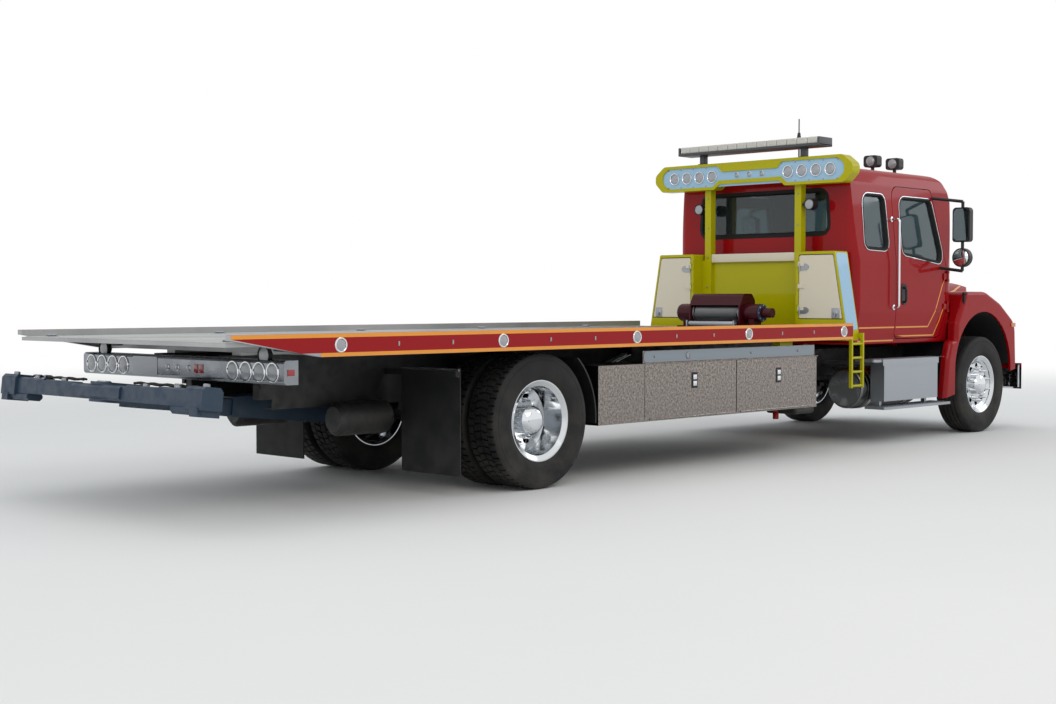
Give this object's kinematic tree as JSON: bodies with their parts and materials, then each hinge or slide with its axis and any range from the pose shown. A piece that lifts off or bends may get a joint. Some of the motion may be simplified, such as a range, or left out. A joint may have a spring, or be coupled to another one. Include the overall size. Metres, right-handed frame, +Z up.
{
  "type": "flatbed tow truck",
  "caption": "Conventional-cab flatbed tow truck with sliding tilt bed, winch, under-body toolboxes, light pylon and folding rear wheel lift.",
  "frame": {"origin": "on the ground, midway between the front bumper and the rear crossbar, on the vehicle's centre line", "axes": "+Z up, -Y towards the front of the truck, +X towards its left-hand side"},
  "size_m": [2.79, 10.76, 3.23],
  "materials": {
    "frame_paint": "satin",
    "cast": "rough",
    "tyre": "matte",
    "polished": "polished",
    "red_paint": "gloss",
    "glass": "clear",
    "seat_cloth": "woven",
    "black_plastic": "textured",
    "lamp_glass": "clear",
    "chrome": "polished",
    "aluminium": "brushed",
    "steel": "brushed",
    "rubber": "matte",
    "cream_paint": "gloss",
    "amber_lens": "clear",
    "red_lens": "clear",
    "maroon_paint": "gloss",
    "lift_paint": "satin"
  },
  "bodies": {
    "truck": {"chassis_frame": "frame_paint", "front_axle": "frame_paint", "rear_axle": "frame_paint", "cab_shell": "red_paint", "cab_glass": "glass", "cab_seats": "seat_cloth", "dashboard": "black_plastic", "front_bumper": "chrome", "engine_block": "cast", "fuel_tanks": "polished", "cab_steps": "aluminium", "chassis_tanks": "frame_paint", "exhaust": "steel", "toolboxes": "polished", "quarter_fenders": "aluminium", "mudflaps": "rubber", "headboard": "cream_paint", "pylon_housing": "steel", "pylon_lamps": "amber_lens", "beacon_bar": "amber_lens", "roof_lamps": "black_plastic"},
    "hood": {"hood": "red_paint", "headlamps": "lamp_glass", "grille": "chrome"},
    "steer_left": {"knuckle_left": "cast"},
    "steer_right": {"knuckle_right": "cast"},
    "wheel_front_left": {"front_wheel_left": "polished", "front_tyre_left": "tyre"},
    "wheel_front_right": {"front_wheel_right": "polished", "front_tyre_right": "tyre"},
    "wheels_rear_left": {"rear_wheels_left": "polished", "rear_tyres_left": "tyre"},
    "wheels_rear_right": {"rear_wheels_right": "polished", "rear_tyres_right": "tyre"},
    "door_left": {"cab_door_left": "red_paint", "door_glass_left": "glass", "mirror_left": "black_plastic"},
    "door_right": {"cab_door_right": "red_paint", "door_glass_right": "glass", "mirror_right": "black_plastic"},
    "cabinet_left": {"cabinet_door_left": "cream_paint"},
    "cabinet_right": {"cabinet_door_right": "cream_paint"},
    "box_rear_left": {"toolbox_door_rear_left": "polished"},
    "box_front_left": {"toolbox_door_front_left": "polished"},
    "box_rear_right": {"toolbox_door_rear_right": "polished"},
    "box_front_right": {"toolbox_door_front_right": "polished"},
    "subframe": {"tilt_frame": "frame_paint", "tail_panel": "frame_paint", "tail_lamps": "red_lens"},
    "rams": {"ram_barrels": "frame_paint"},
    "rods": {"ram_rods": "chrome"},
    "bed": {"deck": "aluminium", "deck_lamps": "amber_lens", "winch_housing": "maroon_paint"},
    "drum": {"winch_drum": "steel"},
    "lift": {"lift_arm": "lift_paint"},
    "stinger": {"lift_boom": "lift_paint"},
    "crossbar": {"lift_crossbar": "lift_paint"}
  },
  "joints": [
    {"name": "steer_left_turn", "type": "hinge", "parent": "truck", "child": "steer_left", "pos_m": [0.86, -4.38, 0.502], "axis": [0, 0, 1], "range_deg": [-35, 35]},
    {"name": "steer_right_turn", "type": "hinge", "parent": "truck", "child": "steer_right", "pos_m": [-0.86, -4.38, 0.502], "axis": [0, 0, 1], "range_deg": [-35, 35]},
    {"name": "wheel_front_left_roll", "type": "hinge", "parent": "steer_left", "child": "wheel_front_left", "pos_m": [1.02, -4.38, 0.502], "axis": [1, 0, 0], "continuous": true},
    {"name": "wheel_front_right_roll", "type": "hinge", "parent": "steer_right", "child": "wheel_front_right", "pos_m": [-1.02, -4.38, 0.502], "axis": [1, 0, 0], "continuous": true},
    {"name": "wheels_rear_left_roll", "type": "hinge", "parent": "truck", "child": "wheels_rear_left", "pos_m": [0.921, 2.42, 0.502], "axis": [1, 0, 0], "continuous": true},
    {"name": "wheels_rear_right_roll", "type": "hinge", "parent": "truck", "child": "wheels_rear_right", "pos_m": [-0.921, 2.42, 0.502], "axis": [1, 0, 0], "continuous": true},
    {"name": "hood_open", "type": "hinge", "parent": "truck", "child": "hood", "pos_m": [0, -5.285, 0.745], "axis": [1, 0, 0], "range_deg": [0, 65]},
    {"name": "door_left_open", "type": "hinge", "parent": "truck", "child": "door_left", "pos_m": [1.075, -3.786, 1.4], "axis": [0, 0, -1], "range_deg": [0, 65]},
    {"name": "door_right_open", "type": "hinge", "parent": "truck", "child": "door_right", "pos_m": [-1.075, -3.786, 1.4], "axis": [0, 0, 1], "range_deg": [0, 65]},
    {"name": "cabinet_left_open", "type": "hinge", "parent": "truck", "child": "cabinet_left", "pos_m": [0.644, -1.724, 1.5], "axis": [0, 0, 1], "range_deg": [0, 90]},
    {"name": "cabinet_right_open", "type": "hinge", "parent": "truck", "child": "cabinet_right", "pos_m": [-0.644, -1.724, 1.5], "axis": [0, 0, -1], "range_deg": [0, 90]},
    {"name": "box_rear_left_open", "type": "hinge", "parent": "truck", "child": "box_rear_left", "pos_m": [1.22, 0.645, 0.445], "axis": [0, 1, 0], "range_deg": [0, 90]},
    {"name": "box_rear_right_open", "type": "hinge", "parent": "truck", "child": "box_rear_right", "pos_m": [-1.22, 0.645, 0.445], "axis": [0, -1, 0], "range_deg": [0, 90]},
    {"name": "box_front_left_open", "type": "hinge", "parent": "truck", "child": "box_front_left", "pos_m": [1.22, -0.565, 0.445], "axis": [0, 1, 0], "range_deg": [0, 90]},
    {"name": "box_front_right_open", "type": "hinge", "parent": "truck", "child": "box_front_right", "pos_m": [-1.22, -0.565, 0.445], "axis": [0, -1, 0], "range_deg": [0, 90]},
    {"name": "bed_tilt", "type": "hinge", "parent": "truck", "child": "subframe", "pos_m": [0, 4.32, 0.85], "axis": [-1, 0, 0], "range_deg": [0, 12]},
    {"name": "ram_swing", "type": "hinge", "parent": "truck", "child": "rams", "pos_m": [0, 1.67, 0.62], "axis": [-1, 0, 0], "range_deg": [0, 31.16]},
    {"name": "ram_stroke", "type": "slide", "parent": "rams", "child": "rods", "axis": [0, -0.9559, 0.2937], "range_m": [0, 0.34428]},
    {"name": "bed_slide", "type": "slide", "parent": "subframe", "child": "bed", "axis": [0, 1, 0], "range_m": [0, 4.2]},
    {"name": "winch_turn", "type": "hinge", "parent": "bed", "child": "drum", "pos_m": [0, -1.385, 1.2656], "axis": [1, 0, 0], "continuous": true},
    {"name": "lift_lower", "type": "hinge", "parent": "subframe", "child": "lift", "pos_m": [0, 3.37, 0.55], "axis": [1, 0, 0], "range_deg": [-16, 0]},
    {"name": "lift_extend", "type": "slide", "parent": "lift", "child": "stinger", "axis": [0, 0.9936, 0.1132], "range_m": [0, 0.8]},
    {"name": "crossbar_swivel", "type": "hinge", "parent": "stinger", "child": "crossbar", "pos_m": [0, 5.28804, 0.78665], "axis": [0, -0.1132, 0.9936], "range_deg": [-30, 30]}
  ],
  "couplings": [
    {"joint": "steer_right_turn", "follows": "steer_left_turn", "ratio": 1},
    {"joint": "ram_swing", "follows": "bed_tilt", "ratio": 2.5971},
    {"joint": "ram_stroke", "follows": "bed_tilt", "m_per_rad": 1.6438}
  ]
}
